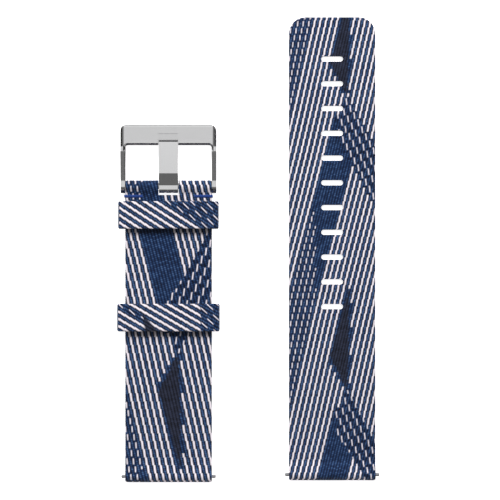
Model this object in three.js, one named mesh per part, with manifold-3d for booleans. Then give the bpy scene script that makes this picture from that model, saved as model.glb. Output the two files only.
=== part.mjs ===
// A two-piece woven band for a fitness tracker, laid out flat with its face up.
// The buckle strap lies on the left and the hole strap on the right. X runs
// across the straps, Y from the lug ends towards the buckle and the tip, and Z
// up from the surface that the band lies on. All dimensions are millimetres.
import * as THREE from 'three';
import { mergeVertices } from 'three/addons/utils/BufferGeometryUtils.js';
import Module from 'manifold-3d';

const wasm = await Module();
wasm.setup();

// Webbing: every strap is a face layer on a lining layer.
const STRAP_WIDTH = 22;
const LAYER = 0.75;
const BUCKLE_STRAP_LENGTH = 77.15;
const HOLE_STRAP_LENGTH = 118.3;
const STRAP_SPACING = 41.75;
const LUG_END_OFFSET = 0.46;
const TIP_CORNER_RADIUS = 4.27;
const FOLD_RAMP = 5;
const FLAP_START = 60;

// Spring bars, which run across the straps inside the folded ends.
const TUBE_RADIUS = 0.75;
const TUBE_BORE = 0.5;
const PLUNGER_RADIUS = 0.45;
const PIN_RADIUS = 0.4;
const PIN_CHAMFER = 0.12;
const TUBE_HALF_LENGTH = 10.3;
const TIP_TO_TIP = 24.05;
const FLANGE_THICKNESS = 0.3;
const SHANK_LENGTH = 2;
const RUNNING_GAP = 0.05;
const TOUCHING_GAP = 0.02;
const FOLD_RADIUS = TUBE_RADIUS + RUNNING_GAP + LAYER;

// Quick-release lever, in a notch in the underside of the lug end.
const LEVER_X = 7;
const LEVER_TRAVEL = 1.1;
const LEVER_PIN_RADIUS = 0.3;
const LEVER_KNOB_RADIUS = 0.45;
const LEVER_REACH = 2.9;
const LEVER_KNOB_LENGTH = 0.7;
const LEVER_DROP = THREE.MathUtils.degToRad(20);
const NOTCH_CLEARANCE = 0.4;

// Spring-bar coil.
const COIL_RADIUS = 0.33;
const WIRE_RADIUS = 0.07;
const COIL_TURNS = 14;

// Flex hinges: each strap section starts convex and ends concave.
const HINGE_GAP = 0.1;
const SLOT_COUNT = 11;
const SLOT_PITCH = 6.326;
const FIRST_SLOT = 44.38;
const SLOT_LENGTH = 5.65;
const SLOT_WIDTH = 1.38;
const HOLE_SECTION = 2 * SLOT_PITCH;
const HOLE_FLEX_COUNT = 8;
const HOLE_LAST_HINGE = FIRST_SLOT + (SLOT_COUNT - 1.5) * SLOT_PITCH;
const BUCKLE_HINGES = [8, 18.2];

// Buckle: side arms that pivot on a spring bar, and a wide bar across them.
const EAR_RADIUS = 1.8;
const FRAME_WIDTH = 24.35;
const WINDOW_WIDTH = 22.1;
const FRAME_END = 91.07;
const BAR_START = 86;
const BAR_TOP = 3.4;
const BAR_BOTTOM = 1.6;
const FRAME_CORNER = 1.4;
const WINDOW_CORNER = 0.8;
const BAR_EDGE_RADIUS = 1;
const BAR_CHAMFER = 0.46;
const ARM_LEVEL_END = 76.95;
const ARM_SLOPE_END = 84.4;
const BUCKLE_TUBE_HALF_LENGTH = 10.75;
const BUCKLE_PIN_REACH = 12;

// Tongue and the places cut for it.
const TONGUE_WIDTH = 4.83;
const TONGUE_LOOP_RADIUS = 1.75;
const TONGUE_LOOP_CORNER = 1;
const TONGUE_BORE = 0.85;
const TONGUE_TOP = 2.85;
const TONGUE_THICKNESS = 0.9;
const TONGUE_SLOT_WIDTH = 5.25;
const TONGUE_SLOT_START = 73.3;
const NOTCH_WIDTH = 5.1;
const NOTCH_END = 1.4;
const RECESS_END = 2.8;
const RECESS_DEPTH = 0.06;

// Keepers and bar-tacks.
const KEEPER_WALL = 0.8;
const KEEPER_LENGTH = 7;
const KEEPER_HEIGHT = 5;
const KEEPER_CORNER = 1.1;
const FREE_KEEPER_START = 38.6;
const FREE_KEEPER_WIDTH = 26.2;
const FIXED_KEEPER_START = 64.7;
const FIXED_KEEPER_WIDTH = 25.7;
const FIXED_KEEPER_BASE = 0.2;
const TACK_START = 72.6;
const TACK_LENGTH = 0.8;
const TACK_INNER_X = 6.6;
const TACK_THICKNESS = 0.25;

// Middle planes of the two straps above the surface, and the pins in them.
const BUCKLE_MID = EAR_RADIUS;
const HOLE_MID = LAYER;
const LUG_BAR_V = FOLD_RADIUS;
const PIN_V = BUCKLE_STRAP_LENGTH - FOLD_RADIUS;

const ARC_STEPS = 6;
const CIRCLE_STEPS = 24;
const FAR = 40;

const FACE_COLOUR = 0x263a62;
const LINING_COLOUR = 0x1b2540;
const TACK_COLOUR = 0x1c3e82;
const STEEL_COLOUR = 0xc8c8c8;
const PIN_COLOUR = 0xa8a8a8;

// ---------------------------------------------------------------- outlines

function point(x, y) {
  return new THREE.Vector2(x, y);
}

/** Points on an arc about centre, angles in degrees, both ends included. */
function arc(centre, radius, from, to, steps = ARC_STEPS) {
  const points = [];
  for (let i = 0; i <= steps; i += 1) {
    const angle = THREE.MathUtils.degToRad(from + ((to - from) * i) / steps);
    points.push(point(
      centre.x + radius * Math.cos(angle),
      centre.y + radius * Math.sin(angle),
    ));
  }
  return points;
}

function degrees(radians) {
  return THREE.MathUtils.radToDeg(radians);
}

/** Angle about centre, in degrees, at which a line from outside touches a circle. */
function tangentAngle(outside, centre, radius, side) {
  const away = outside.clone().sub(centre);
  return degrees(Math.atan2(away.y, away.x) + side * Math.acos(radius / away.length()));
}

function rectangle(x0, y0, x1, y1) {
  return [point(x0, y0), point(x1, y0), point(x1, y1), point(x0, y1)];
}

/** Rectangle with round corners, anticlockwise; radii are lower and upper. */
function roundedRectangle(x0, y0, x1, y1, lower, upper) {
  const corner = (x, y, radius, from) => (
    radius > 0 ? arc(point(x, y), radius, from, from + 90) : [point(x, y)]
  );
  return [
    ...corner(x1 - lower, y0 + lower, lower, 270),
    ...corner(x1 - upper, y1 - upper, upper, 0),
    ...corner(x0 + upper, y1 - upper, upper, 90),
    ...corner(x0 + lower, y0 + lower, lower, 180),
  ];
}

// ------------------------------------------------------------------ solids

/** A closed shape of an outline and its holes, extruded by depth. */
function extrude(outline, depth, holes = []) {
  const shape = new THREE.Shape(outline);
  shape.holes = holes.map((hole) => new THREE.Path(hole));
  return new THREE.ExtrudeGeometry(shape, { depth, bevelEnabled: false });
}

/** Extrudes a side profile (y, z) along X, centred on x = middle. */
function alongX(outline, width, holes = [], middle = 0) {
  const turn = new THREE.Matrix4().makeBasis(
    new THREE.Vector3(0, 1, 0),
    new THREE.Vector3(0, 0, 1),
    new THREE.Vector3(1, 0, 0),
  );
  const geometry = extrude(outline, width, holes).applyMatrix4(turn);
  return geometry.translate(middle - width / 2, 0, 0);
}

/** Extrudes a front profile (x, z) along Y from start, by length. */
function alongY(outline, start, length, holes = []) {
  const geometry = extrude(outline, length, holes).rotateX(Math.PI / 2);
  return geometry.translate(0, start + length, 0);
}

/** Extrudes a plan outline (x, y) along Z, through everything. */
function alongZ(outline) {
  return extrude(outline, FAR).translate(0, 0, -FAR / 2);
}

/** A block that widens by size on every side over the last size of height below z = 0. */
function flare(outline, size) {
  return new THREE.ExtrudeGeometry(new THREE.Shape(outline), {
    depth: 1,
    bevelThickness: size,
    bevelSize: size,
    bevelSegments: 1,
  });
}

/** Turns a profile of (radius, x) points about the X axis. */
function latheX(profile) {
  const points = profile.map(([radius, x]) => point(radius, x));
  return new THREE.LatheGeometry(points, CIRCLE_STEPS).rotateZ(-Math.PI / 2);
}

/** The manifold solid of a closed three.js geometry. */
function solid(geometry) {
  const plain = geometry.index ? geometry.toNonIndexed() : geometry.clone();
  plain.deleteAttribute('normal');
  plain.deleteAttribute('uv');
  const merged = mergeVertices(plain, 1e-5);
  return new wasm.Manifold(new wasm.Mesh({
    numProp: 3,
    vertProperties: new Float32Array(merged.attributes.position.array),
    triVerts: new Uint32Array(merged.index.array),
  }));
}

/** A three.js geometry of base with each of the cutters taken away. */
function cut(base, ...cutters) {
  let result = solid(base);
  for (const cutter of cutters) {
    result = result.subtract(solid(cutter));
  }
  const mesh = result.getMesh();
  const geometry = new THREE.BufferGeometry();
  geometry.setAttribute('position', new THREE.BufferAttribute(mesh.vertProperties, 3));
  geometry.setIndex(new THREE.BufferAttribute(mesh.triVerts, 1));
  geometry.computeVertexNormals();
  return geometry;
}

function addPiece(parent, name, geometry, colour, roughness, metalness) {
  const material = new THREE.MeshStandardMaterial({ color: colour, roughness, metalness });
  const mesh = new THREE.Mesh(geometry, material);
  mesh.name = name;
  parent.add(mesh);
  return mesh;
}

function addFabric(parent, name, geometry, colour = FACE_COLOUR) {
  return addPiece(parent, name, geometry, colour, 0.85, 0);
}

function addSteel(parent, name, geometry, colour = PIN_COLOUR) {
  return addPiece(parent, name, geometry, colour, 0.3, 1);
}

// --------------------------------------------------------- webbing profiles

/** Concave end at a flex hinge, from the lower lip to the upper one. */
function concaveEnd(hinge, lowest, highest) {
  const radius = LAYER + HINGE_GAP;
  const lip = 180 - degrees(Math.asin(LAYER / radius));
  const limits = { [-1]: 360 - lip, 0: 180, 1: lip };
  return arc(point(hinge, 0), radius, limits[lowest], limits[highest]);
}

/** Convex start at a flex hinge, from the top down to the bottom. */
function convexStart(hinge, highest, lowest) {
  const angles = { 1: 90, 0: 180, [-1]: 270 };
  return arc(point(hinge, 0), LAYER, angles[highest], angles[lowest]);
}

/** The plain end of a layer at v, between two heights. */
function plainEnd(v, low, high) {
  return [point(v, low), point(v, high)];
}

/** Side profile of the face layer between a start hinge and an end. */
function faceProfile(startHinge, end) {
  return [...end, ...convexStart(startHinge, 1, 0)];
}

/** Side profile of the lining layer between a start hinge and an end. */
function liningProfile(startHinge, end) {
  return [...convexStart(startHinge, 0, -1), ...end];
}

/** Side profile of the lug end, where the face folds round the spring bar. */
function lugEndProfile(barZ, hinge) {
  const centre = point(LUG_BAR_V, barZ);
  const upper = point(FOLD_RAMP, LAYER);
  const lower = point(FOLD_RAMP, -LAYER);
  const fromAngle = tangentAngle(upper, centre, FOLD_RADIUS, 1);
  const toAngle = tangentAngle(lower, centre, FOLD_RADIUS, -1) + 360;
  return [
    ...concaveEnd(hinge, -1, 1),
    upper,
    ...arc(centre, FOLD_RADIUS, fromAngle, 180, 2 * ARC_STEPS),
    ...arc(centre, FOLD_RADIUS, 180, toAngle, 2 * ARC_STEPS).slice(1),
    lower,
  ];
}

/** Side profile of the buckle end: face, fold round the pin, and flap beneath. */
function buckleEndProfile(startHinge) {
  const centre = point(PIN_V, 0);
  const fold = TACK_START + TACK_LENGTH + RUNNING_GAP;
  const upper = point(fold, LAYER);
  const lower = point(fold, -LAYER);
  const fromAngle = tangentAngle(lower, centre, FOLD_RADIUS, 1);
  const toAngle = tangentAngle(upper, centre, FOLD_RADIUS, -1);
  return [
    lower,
    ...arc(centre, FOLD_RADIUS, fromAngle, 0, 2 * ARC_STEPS),
    ...arc(centre, FOLD_RADIUS, 0, toAngle, 2 * ARC_STEPS).slice(1),
    upper,
    ...convexStart(startHinge, 1, 0),
    point(FLAP_START, 0),
    point(FLAP_START, -LAYER),
  ];
}

/** Round hole through a fold for the tube of a spring bar. */
function tubeHole(v, z) {
  return arc(point(v, z), TUBE_RADIUS + RUNNING_GAP, 0, 360, CIRCLE_STEPS).slice(1);
}

/** Plan outline of one buckle slot, centred across the strap at v. */
function slotOutline(v) {
  const reach = (SLOT_LENGTH - SLOT_WIDTH) / 2;
  return [
    ...arc(point(reach, v), SLOT_WIDTH / 2, -90, 90),
    ...arc(point(-reach, v), SLOT_WIDTH / 2, 90, 270),
  ];
}

/** Plan outlines of what the round tip corners take away. */
function tipCorners() {
  const radius = TIP_CORNER_RADIUS;
  return [-1, 1].map((side) => {
    const edge = side * (STRAP_WIDTH / 2);
    const centre = point(edge - side * radius, HOLE_STRAP_LENGTH - radius);
    const bend = arc(centre, radius, side > 0 ? 0 : 180, 90, 2 * ARC_STEPS);
    const beyond = [
      point(centre.x, HOLE_STRAP_LENGTH + 1),
      point(edge + side, HOLE_STRAP_LENGTH + 1),
      point(edge + side, centre.y),
    ];
    return [...bend, ...beyond];
  });
}

/** The notch in the underside of a lug end that gives room to the lever. */
function leverNotch(barZ) {
  const outline = [[0, -3], [4.2, -3], [4.2, -0.62], [0.3, 0.8], [0, 0.8]]
    .map(([v, z]) => point(LUG_BAR_V + v, barZ + z));
  const low = LEVER_X - LEVER_TRAVEL - LEVER_KNOB_RADIUS - NOTCH_CLEARANCE;
  const high = LEVER_X + LEVER_KNOB_RADIUS + NOTCH_CLEARANCE;
  return alongX(outline, high - low, [], (low + high) / 2);
}

// ------------------------------------------------------------- spring bars

class Helix extends THREE.Curve {
  constructor(start, end) {
    super();
    this.start = start;
    this.end = end;
  }

  getPoint(t, target = new THREE.Vector3()) {
    const angle = 2 * Math.PI * COIL_TURNS * t;
    return target.set(
      this.start + (this.end - this.start) * t,
      COIL_RADIUS * Math.cos(angle),
      COIL_RADIUS * Math.sin(angle),
    );
  }
}

function coil(start, end) {
  const section = new THREE.Shape(arc(point(0, 0), WIRE_RADIUS, 0, 360, 4).slice(1));
  return new THREE.ExtrudeGeometry(section, {
    steps: COIL_TURNS * 8,
    extrudePath: new Helix(start, end),
    bevelEnabled: false,
  });
}

function tube(halfLength) {
  return latheX([
    [TUBE_BORE, -halfLength],
    [TUBE_RADIUS, -halfLength],
    [TUBE_RADIUS, halfLength],
    [TUBE_BORE, halfLength],
    [TUBE_BORE, -halfLength],
  ]);
}

/** A tip that reaches out to x = reach, with its shank back in the tube. */
function tip(reach, shankEnd, shoulder) {
  return [
    [0, shankEnd],
    [PLUNGER_RADIUS, shankEnd],
    [PLUNGER_RADIUS, shoulder],
    [PIN_RADIUS, shoulder],
    [PIN_RADIUS, reach - PIN_CHAMFER],
    [PIN_RADIUS - PIN_CHAMFER, reach],
    [0, reach],
  ];
}

/** A fixed tip: a flange closes the end of the tube. */
function flangedTip(reach, tubeEnd) {
  const flangeStart = tubeEnd + TOUCHING_GAP;
  const flangeEnd = flangeStart + FLANGE_THICKNESS;
  return latheX([
    [0, tubeEnd - SHANK_LENGTH],
    [PLUNGER_RADIUS, tubeEnd - SHANK_LENGTH],
    [PLUNGER_RADIUS, flangeStart],
    [TUBE_RADIUS, flangeStart],
    [TUBE_RADIUS, flangeEnd],
    [PIN_RADIUS, flangeEnd],
    [PIN_RADIUS, reach - PIN_CHAMFER],
    [PIN_RADIUS - PIN_CHAMFER, reach],
    [0, reach],
  ]);
}

/** The lever: a thin pin that leaves the tube through its slot, with a knob. */
function lever() {
  const start = PLUNGER_RADIUS + TOUCHING_GAP;
  const knob = LEVER_REACH - LEVER_KNOB_LENGTH;
  const profile = [
    [0, start],
    [LEVER_PIN_RADIUS, start],
    [LEVER_PIN_RADIUS, knob],
    [LEVER_KNOB_RADIUS, knob + PIN_CHAMFER],
    [LEVER_KNOB_RADIUS, LEVER_REACH - PIN_CHAMFER],
    [LEVER_KNOB_RADIUS - PIN_CHAMFER, LEVER_REACH],
    [0, LEVER_REACH],
  ];
  const points = profile.map(([radius, along]) => point(radius, along));
  const geometry = new THREE.LatheGeometry(points, CIRCLE_STEPS / 2);
  return geometry.rotateX(-LEVER_DROP).translate(LEVER_X, 0, 0);
}

function leverSlot() {
  const low = LEVER_X - LEVER_TRAVEL - LEVER_PIN_RADIUS - RUNNING_GAP;
  const high = LEVER_X + LEVER_PIN_RADIUS + RUNNING_GAP;
  const half = LEVER_PIN_RADIUS + RUNNING_GAP;
  const slot = alongX(rectangle(0, -half, 1, half), high - low, [], (low + high) / 2);
  return slot.rotateX(-LEVER_DROP);
}

/** Quick-release spring bar of a lug end, centred on the bar's own axis. */
function quickReleaseBar(prefix) {
  const bar = new THREE.Group();
  const reach = TIP_TO_TIP / 2;
  const plungerEnd = LEVER_X - 2;
  const fixedEnd = TUBE_HALF_LENGTH - SHANK_LENGTH;
  addSteel(bar, `${prefix}_tube`, cut(tube(TUBE_HALF_LENGTH), leverSlot()));
  const fixed = addSteel(bar, `${prefix}_fixed_tip`, flangedTip(reach, TUBE_HALF_LENGTH));
  fixed.rotation.z = Math.PI;
  addSteel(bar, `${prefix}_sliding_tip`, latheX(tip(reach, plungerEnd, TUBE_HALF_LENGTH - 1)));
  addSteel(bar, `${prefix}_lever`, lever());
  const gap = WIRE_RADIUS + RUNNING_GAP;
  addSteel(bar, `${prefix}_coil`, coil(-fixedEnd + gap, plungerEnd - gap));
  return bar;
}

/** Plain spring bar that the buckle pivots on: two sprung tips in one tube. */
function buckleBar() {
  const bar = new THREE.Group();
  const shankEnd = BUCKLE_TUBE_HALF_LENGTH - SHANK_LENGTH;
  addSteel(bar, 'buckle_bar_tube', tube(BUCKLE_TUBE_HALF_LENGTH));
  for (const [side, turn] of [['right', 0], ['left', Math.PI]]) {
    const profile = tip(BUCKLE_PIN_REACH, shankEnd, BUCKLE_TUBE_HALF_LENGTH - 0.3);
    const piece = addSteel(bar, `buckle_bar_tip_${side}`, latheX(profile));
    piece.rotation.z = turn;
  }
  const end = shankEnd - WIRE_RADIUS - RUNNING_GAP;
  addSteel(bar, 'buckle_bar_coil', coil(-end, end));
  return bar;
}

// ------------------------------------------------------------------ buckle

/** Frame of the buckle, relative to the pin's axis. */
function buckleFrame() {
  const ear = point(0, 0);
  const end = FRAME_END - PIN_V;
  const top = BAR_TOP;
  const side = [
    ...arc(ear, EAR_RADIUS, 90, 270, 3 * ARC_STEPS),
    point(3.2, 0.35 - EAR_RADIUS),
    point(7, 0.5 - EAR_RADIUS),
    point(10.4, 0.35 - EAR_RADIUS),
    point(12.6, -EAR_RADIUS),
    ...arc(point(end - 2.4, 0.6), 2.4, -90, 0, 2 * ARC_STEPS),
    ...arc(point(end - 0.5, top - 0.5), 0.5, 0, 90, 2 * ARC_STEPS),
    point(ARM_SLOPE_END - PIN_V, top),
    point(ARM_LEVEL_END - PIN_V, EAR_RADIUS),
  ];
  const pinHole = arc(ear, PIN_RADIUS + RUNNING_GAP, 0, 360, CIRCLE_STEPS).slice(1);
  const barStart = BAR_START - PIN_V;
  const innerX = WINDOW_WIDTH / 2;
  const outerX = FRAME_WIDTH / 2;
  const window = roundedRectangle(-innerX, -5, innerX, barStart, 0, WINDOW_CORNER);
  const underBar = alongX(rectangle(barStart - 1, -5, end + 1, BAR_BOTTOM), WINDOW_WIDTH);
  const notchFloor = TONGUE_TOP - TONGUE_THICKNESS - RUNNING_GAP;
  const notch = alongX([
    point(barStart - 1, notchFloor),
    point(barStart + NOTCH_END, notchFloor),
    point(barStart + NOTCH_END, top - 2.5 * RECESS_DEPTH),
    point(barStart + RECESS_END, top - RECESS_DEPTH),
    point(barStart + RECESS_END + 2 * RECESS_DEPTH, top + RECESS_DEPTH),
    point(barStart - 1, top + RECESS_DEPTH),
  ], NOTCH_WIDTH);
  const nearBar = roundedRectangle(-innerX, barStart - 1.2, innerX, barStart, 0, WINDOW_CORNER);
  const chamfer = flare(nearBar, BAR_CHAMFER).translate(0, 0, top);
  const cutters = [alongZ(window), underBar, notch, chamfer];
  for (const hand of [-1, 1]) {
    const x = (distance) => hand * distance;
    const bend = arc(point(x(outerX - FRAME_CORNER), end - FRAME_CORNER), FRAME_CORNER,
      hand > 0 ? 0 : 180, 90, 2 * ARC_STEPS);
    cutters.push(alongZ([
      ...bend,
      point(x(outerX - FRAME_CORNER), end + 1),
      point(x(outerX + 1), end + 1),
      point(x(outerX + 1), end - FRAME_CORNER),
    ]));
    const edge = arc(point(x(outerX - BAR_EDGE_RADIUS), top - BAR_EDGE_RADIUS),
      BAR_EDGE_RADIUS, hand > 0 ? 0 : 180, 90, 2 * ARC_STEPS);
    cutters.push(alongY([
      ...edge,
      point(x(outerX - BAR_EDGE_RADIUS), top + 1),
      point(x(outerX + 1), top + 1),
      point(x(outerX + 1), top - BAR_EDGE_RADIUS),
    ], barStart - 0.4, end));
  }
  return cut(alongX(side, FRAME_WIDTH, [pinHole]), ...cutters);
}

/** Tongue, relative to the pin's axis: a loop, a slope and a flat blade. */
function tongue() {
  const centre = point(0, 0);
  const bottom = TONGUE_TOP - TONGUE_THICKNESS;
  const corner = point(TONGUE_LOOP_CORNER - TONGUE_LOOP_RADIUS, TONGUE_LOOP_RADIUS - TONGUE_LOOP_CORNER);
  const outline = [
    ...arc(corner, TONGUE_LOOP_CORNER, 90, 180, 2 * ARC_STEPS),
    ...arc(centre, TONGUE_LOOP_RADIUS, 180, 370, 4 * ARC_STEPS),
    point(3.6, bottom),
    point(11.3, bottom),
    point(11.6, bottom + 0.3),
    point(11.2, TONGUE_TOP),
    point(3.2, TONGUE_TOP),
    point(0.15, TONGUE_LOOP_RADIUS),
  ];
  const bore = arc(centre, TONGUE_BORE, 0, 360, CIRCLE_STEPS).slice(1);
  return alongX(outline, TONGUE_WIDTH, [bore]);
}

/** A webbing loop round the strap, given relative to the surface beneath. */
function keeper(width, base) {
  const half = width / 2;
  const top = KEEPER_HEIGHT;
  const inner = KEEPER_CORNER - KEEPER_WALL;
  const outside = roundedRectangle(-half, base, half, top, KEEPER_CORNER, KEEPER_CORNER);
  const inside = roundedRectangle(
    KEEPER_WALL - half, base + KEEPER_WALL, half - KEEPER_WALL, top - KEEPER_WALL, inner, inner,
  );
  return alongY(outside, 0, KEEPER_LENGTH, [inside]);
}

/** One bar-tack: a run of stitches that wraps the strap's edge. */
function barTack(side) {
  const inner = STRAP_WIDTH / 2 + TOUCHING_GAP;
  const outer = inner + TACK_THICKNESS;
  const low = LAYER + TOUCHING_GAP;
  const high = low + TACK_THICKNESS;
  const outline = [
    [TACK_INNER_X, low], [inner, low], [inner, -low], [TACK_INNER_X, -low],
    [TACK_INNER_X, -high], [outer, -high], [outer, high], [TACK_INNER_X, high],
  ].map(([x, z]) => point(side * x, z));
  return alongY(outline, TACK_START, TACK_LENGTH);
}

// ------------------------------------------------------------------ straps

function buckleStrap() {
  const strap = new THREE.Group();
  const [lugHinge, mainHinge] = BUCKLE_HINGES;
  const lug = alongX(lugEndProfile(0, lugHinge), STRAP_WIDTH, [tubeHole(LUG_BAR_V, 0)]);
  addFabric(strap, 'buckle_strap_lug_end', cut(lug, leverNotch(0)));
  const face = faceProfile(lugHinge, concaveEnd(mainHinge, 0, 1));
  const lining = liningProfile(lugHinge, concaveEnd(mainHinge, -1, 0));
  addFabric(strap, 'buckle_strap_flex_face', alongX(face, STRAP_WIDTH));
  addFabric(strap, 'buckle_strap_flex_lining', alongX(lining, STRAP_WIDTH), LINING_COLOUR);

  const slotHalf = TONGUE_SLOT_WIDTH / 2;
  const tongueSlot = rectangle(-slotHalf, TONGUE_SLOT_START, slotHalf, BUCKLE_STRAP_LENGTH + 1);
  const main = alongX(buckleEndProfile(mainHinge), STRAP_WIDTH, [tubeHole(PIN_V, 0)]);
  addFabric(strap, 'buckle_strap_face', cut(main, alongZ(tongueSlot)));
  const mainLining = liningProfile(mainHinge, plainEnd(FLAP_START - TOUCHING_GAP, -LAYER, 0));
  addFabric(strap, 'buckle_strap_lining', alongX(mainLining, STRAP_WIDTH), LINING_COLOUR);

  for (const [side, hand] of [['left', -1], ['right', 1]]) {
    addFabric(strap, `bar_tack_${side}`, barTack(hand), TACK_COLOUR);
  }
  const fixedKeeper = keeper(FIXED_KEEPER_WIDTH, FIXED_KEEPER_BASE);
  const fixed = addFabric(strap, 'fixed_keeper', fixedKeeper);
  fixed.position.set(0, FIXED_KEEPER_START, -BUCKLE_MID);
  const free = addFabric(strap, 'free_keeper', keeper(FREE_KEEPER_WIDTH, 0));
  free.position.set(0, FREE_KEEPER_START, -BUCKLE_MID);

  const pivot = buckleBar();
  addSteel(pivot, 'buckle_frame', buckleFrame(), STEEL_COLOUR);
  addSteel(pivot, 'buckle_tongue', tongue(), STEEL_COLOUR);
  pivot.position.set(0, PIN_V, 0);
  const lugBar = quickReleaseBar('buckle_strap_bar');
  lugBar.position.set(0, LUG_BAR_V, 0);
  strap.add(pivot, lugBar);
  return strap;
}

function holeStrap() {
  const strap = new THREE.Group();
  const barZ = FOLD_RADIUS - LAYER;
  const hinges = [];
  for (let i = HOLE_FLEX_COUNT - 1; i >= 0; i -= 1) {
    hinges.push(HOLE_LAST_HINGE - i * HOLE_SECTION);
  }
  const slots = [];
  for (let i = 0; i < SLOT_COUNT; i += 1) {
    slots.push(FIRST_SLOT + i * SLOT_PITCH);
  }
  const lug = alongX(lugEndProfile(barZ, hinges[0]), STRAP_WIDTH, [tubeHole(LUG_BAR_V, barZ)]);
  addFabric(strap, 'hole_strap_lug_end', cut(lug, leverNotch(barZ)));

  hinges.forEach((hinge, index) => {
    const isTip = index === hinges.length - 1;
    const next = isTip ? HOLE_STRAP_LENGTH : hinges[index + 1];
    const cutters = slots
      .filter((v) => v > hinge && v < next)
      .map((v) => alongZ(slotOutline(v)));
    if (isTip) {
      cutters.push(...tipCorners().map(alongZ));
    }
    const faceEnd = isTip ? plainEnd(next, 0, LAYER) : concaveEnd(next, 0, 1);
    const liningEnd = isTip ? plainEnd(next, -LAYER, 0) : concaveEnd(next, -1, 0);
    const face = alongX(faceProfile(hinge, faceEnd), STRAP_WIDTH);
    const lining = alongX(liningProfile(hinge, liningEnd), STRAP_WIDTH);
    const label = `hole_strap_${index + 1}`;
    addFabric(strap, `${label}_face`, cut(face, ...cutters));
    addFabric(strap, `${label}_lining`, cut(lining, ...cutters), LINING_COLOUR);
  });

  const lugBar = quickReleaseBar('hole_strap_bar');
  lugBar.position.set(0, LUG_BAR_V, barZ);
  strap.add(lugBar);
  return strap;
}

// ---------------------------------------------------------------- assembly

const leftReach = -STRAP_SPACING / 2 - FREE_KEEPER_WIDTH / 2;
const rightReach = STRAP_SPACING / 2 + TIP_TO_TIP / 2;
const middleX = (leftReach + rightReach) / 2;
const middleY = (LUG_END_OFFSET + HOLE_STRAP_LENGTH) / 2;

const left = buckleStrap();
left.position.set(-STRAP_SPACING / 2 - middleX, -middleY, BUCKLE_MID);
const right = holeStrap();
right.position.set(STRAP_SPACING / 2 - middleX, LUG_END_OFFSET - middleY, HOLE_MID);

const group = new THREE.Group();
group.add(left, right);

export default group;
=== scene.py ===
"""A two-piece woven tracker band, laid out flat: patterned webbing, keepers and steel parts."""

import math

import bpy
import numpy as np
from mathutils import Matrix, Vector


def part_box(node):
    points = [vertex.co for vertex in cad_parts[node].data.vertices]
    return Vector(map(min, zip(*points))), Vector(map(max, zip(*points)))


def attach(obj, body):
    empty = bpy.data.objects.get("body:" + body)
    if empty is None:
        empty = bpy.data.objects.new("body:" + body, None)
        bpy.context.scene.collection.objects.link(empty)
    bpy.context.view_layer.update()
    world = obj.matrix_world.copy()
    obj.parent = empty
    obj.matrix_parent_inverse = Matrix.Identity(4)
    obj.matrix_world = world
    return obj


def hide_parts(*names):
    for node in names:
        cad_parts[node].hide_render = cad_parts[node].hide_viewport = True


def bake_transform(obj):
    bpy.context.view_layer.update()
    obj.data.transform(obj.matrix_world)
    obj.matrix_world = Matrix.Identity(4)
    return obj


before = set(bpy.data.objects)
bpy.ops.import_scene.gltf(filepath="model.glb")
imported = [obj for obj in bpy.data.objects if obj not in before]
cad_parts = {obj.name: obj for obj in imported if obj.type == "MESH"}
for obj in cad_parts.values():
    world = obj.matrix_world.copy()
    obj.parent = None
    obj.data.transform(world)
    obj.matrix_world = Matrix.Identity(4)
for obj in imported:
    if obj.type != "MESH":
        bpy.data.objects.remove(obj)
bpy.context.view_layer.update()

MM = 0.001

# ---------------------------------------------------------------- the band's own sizes, mm

# v runs along a strap from its lug end, and u across it from its middle.
STRAP_WIDTH = 22.0
LAYER = 0.75
SHEET = 0.73
FOLD_RADIUS = 1.55
FOLD_RAMP = 5.0
TACK_END = 73.45
PIN_V = 75.6
FLAP_START = 60.0
LUG_FLAP_END = 12.0

HOLE_LENGTH = 118.3
HOLE_TIP_RADIUS = 4.27
SLOT_FIRST = 44.38
SLOT_PITCH = 6.326
SLOT_COUNT = 11
SLOT_SIZE = (5.65, 1.38)
SLOT_ROUND = 0.68
HINGE_FIRST = 15.913
HINGE_PITCH = 12.652
HINGE_COUNT = 8
BUCKLE_MID_CUT = 13.1
BUCKLE_CUTS = (25.0, 57.5)
TONGUE_SLOT = 5.3
TONGUE_SLOT_START = 73.15
TONGUE_SLOT_CORNER = 0.15

KEEPER_WALL = 0.8
KEEPER_WALL_SHARE = 0.97
KEEPER_LENGTH = 7.0
KEEPER_HEIGHT = 5.0
KEEPER_CORNER = 1.1
FREE_KEEPER_WIDTH = 26.2
FIXED_KEEPER_WIDTH = 25.7
FIXED_KEEPER_BASE = 0.2

# ---------------------------------------------------------------- the woven pattern, mm

# The stripes slant and sway a little; the whole pattern repeats along the strap.
PATTERN_PERIOD = 75.0
PATTERN_FOOT = 23.5
STRIPE_PITCH = 1.42
STRIPE_SLOPE = 0.246
STRIPE_PHASE = 0.42
STRIPE_SWAY = 0.155
STRIPE_SWAY_AT = 84.0
STRIPE_HALF = 0.215

# Each white thread is a row of floats that step sideways; dashes and chains are shorter ones.
FLOAT_LENGTH = 1.78
STEPPING = 0.45
DASH_STEPPING = 0.75
DASH_HALF = 0.125
DASH_LENGTH = 1.3
CHAIN_PITCH = 2.65
CHAIN_DROP = 1.80
CHAIN_LENGTH = 1.65
CHAIN_LEAN = 0.12
PICK_LENGTH = FLOAT_LENGTH / 4.0

# Edges of the plain band, as (across, along, slope): across grows by slope for each mm along.
TOP_LINE = (0.42, 92.5, 0.258)
LOW_LINE = (5.42, 80.4, 0.266)
SIDE_LINE = (1.43, 86.8, -0.578)
PLAIN_TIP = (1.2, 80.0)

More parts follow.
